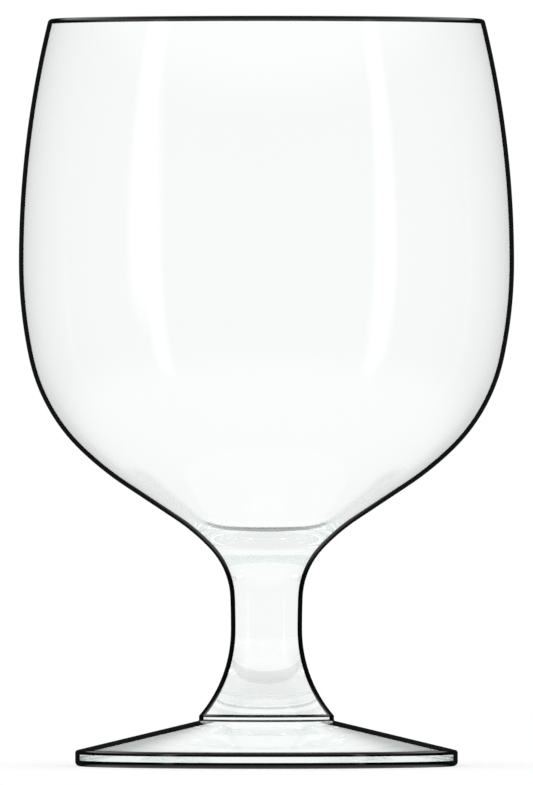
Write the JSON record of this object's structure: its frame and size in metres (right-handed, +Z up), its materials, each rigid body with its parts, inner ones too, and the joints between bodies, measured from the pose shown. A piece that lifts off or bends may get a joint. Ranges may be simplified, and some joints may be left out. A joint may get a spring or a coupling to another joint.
{
  "type": "water goblet",
  "caption": "Stemmed water goblet in one piece of clear glass: full rounded bowl drawn in towards the rim, short waisted stem, thin collar and low conical foot.",
  "frame": {"origin": "centre of the flat ring that the goblet stands on, in the table's plane", "axes": "+Z up along the axis of the glass, from the foot to the rim; X and Y are alike, as the form is turned about Z"},
  "size_m": [0.0862, 0.0862, 0.13],
  "materials": {
    "clear_glass": "clear soda-lime glass, blown and pressed, fire-polished"
  },
  "bodies": {
    "root": {"goblet": "clear_glass"}
  },
  "joints": []
}
